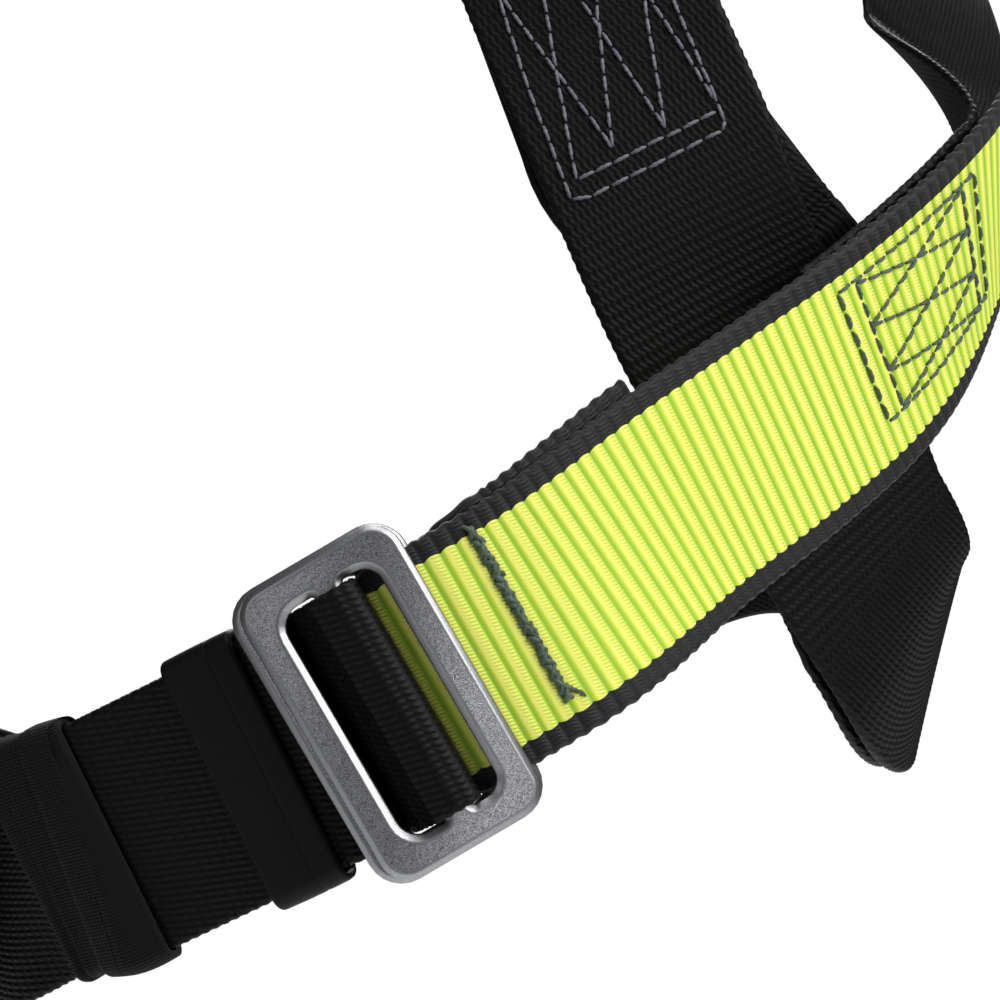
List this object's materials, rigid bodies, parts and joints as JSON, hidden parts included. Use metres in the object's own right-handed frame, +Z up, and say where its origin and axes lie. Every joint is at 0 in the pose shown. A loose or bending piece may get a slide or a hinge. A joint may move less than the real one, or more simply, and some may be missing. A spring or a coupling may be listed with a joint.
{
  "type": "safety harness",
  "caption": "Full-body safety harness of webbing straps with pass-through buckles, chest adjusters, sliding keepers and a dorsal ring, laid out as worn.",
  "frame": {"origin": "midway between the wearer's two shoulders, under the tops of the shoulder straps", "axes": "+Z up, +X to the wearer's left, the wearer faces -Y"},
  "size_m": [0.4356, 0.2962, 0.6723],
  "materials": {
    "black_webbing": "woven polyester, coarse plain weave, slight sheen",
    "hi_vis_webbing": "ribbed polyester, lemon to lime, with black ribbed edges",
    "zinc": "zinc plated, fine sand-cast grain, bright chamfers",
    "forged_steel": "forged and zinc plated, satin",
    "keeper_rubber": "smooth matte",
    "elastic": "knitted elastic, fuzzy, finely ribbed",
    "pouch_cloth": "coated plain-weave cloth with bound edges",
    "pad_cloth": "padded mesh cloth",
    "moulded_plastic": "fine moulded grain"
  },
  "bodies": {
    "root": {"leg_ring_left": "zinc", "adjuster_left": "zinc", "hip_strap_left": "hi_vis_webbing", "leg_strap_left": "black_webbing", "leg_tail_left": "black_webbing", "torso_strap_left": "black_webbing", "lanyard_loop_left": "black_webbing", "leg_sleeve_left": "elastic", "shoulder_strap_left": "black_webbing", "chest_strap_left": "black_webbing", "leg_ring_right": "zinc", "adjuster_right": "zinc", "hip_strap_right": "hi_vis_webbing", "leg_strap_right": "black_webbing", "leg_tail_right": "black_webbing", "torso_strap_right": "black_webbing", "lanyard_loop_right": "black_webbing", "leg_sleeve_right": "elastic", "shoulder_strap_right": "black_webbing", "chest_strap_right": "black_webbing", "seat_strap": "black_webbing", "chest_ring": "zinc", "chest_tail": "black_webbing", "label_pouch": "pouch_cloth", "dorsal_shell": "moulded_plastic", "dorsal_pad": "pad_cloth"},
    "leg_buckle_left": {"leg_plate_left": "zinc", "leg_bar_loop_left": "black_webbing"},
    "torso_keeper_left": {"torso_keeper_left": "keeper_rubber"},
    "leg_keeper_left": {"leg_keeper_left": "keeper_rubber"},
    "leg_buckle_right": {"leg_plate_right": "zinc", "leg_bar_loop_right": "black_webbing"},
    "torso_keeper_right": {"torso_keeper_right": "keeper_rubber"},
    "leg_keeper_right": {"leg_keeper_right": "keeper_rubber"},
    "chest_buckle": {"chest_plate": "zinc", "chest_bar_loop": "black_webbing"},
    "chest_keeper": {"chest_keeper": "keeper_rubber"},
    "dorsal_ring": {"dorsal_ring": "forged_steel"}
  },
  "joints": [
    {"name": "leg_plate_lift_left", "type": "hinge", "parent": "root", "child": "leg_buckle_left", "pos_m": [0.10246, -0.1361, -0.58763], "axis": [-0.506, 0, 0.8625], "range_deg": [0, 25]},
    {"name": "leg_plate_lift_right", "type": "hinge", "parent": "root", "child": "leg_buckle_right", "pos_m": [-0.10246, -0.1361, -0.58763], "axis": [-0.506, 0, -0.8625], "range_deg": [0, 25]},
    {"name": "leg_keeper_slide_left", "type": "slide", "parent": "root", "child": "leg_keeper_left", "axis": [-0.8527, 0.3086, -0.4216], "range_m": [0, 0.018]},
    {"name": "leg_keeper_slide_right", "type": "slide", "parent": "root", "child": "leg_keeper_right", "axis": [0.8527, 0.3086, -0.4216], "range_m": [0, 0.018]},
    {"name": "torso_keeper_slide_left", "type": "slide", "parent": "root", "child": "torso_keeper_left", "axis": [0, 0.0854, -0.9963], "range_m": [-0.006, 0.006]},
    {"name": "torso_keeper_slide_right", "type": "slide", "parent": "root", "child": "torso_keeper_right", "axis": [0, 0.0854, -0.9963], "range_m": [-0.006, 0.006]},
    {"name": "chest_plate_lift", "type": "hinge", "parent": "root", "child": "chest_buckle", "pos_m": [-0.01595, -0.1171, -0.15], "axis": [0, 0, -1], "range_deg": [0, 25]},
    {"name": "chest_keeper_slide", "type": "slide", "parent": "root", "child": "chest_keeper", "axis": [1, 0, 0], "range_m": [-0.004, 0.007]},
    {"name": "dorsal_ring_swing", "type": "hinge", "parent": "root", "child": "dorsal_ring", "pos_m": [0, 0.14595, -0.162], "axis": [1, 0, 0], "range_deg": [0, 175]}
  ]
}
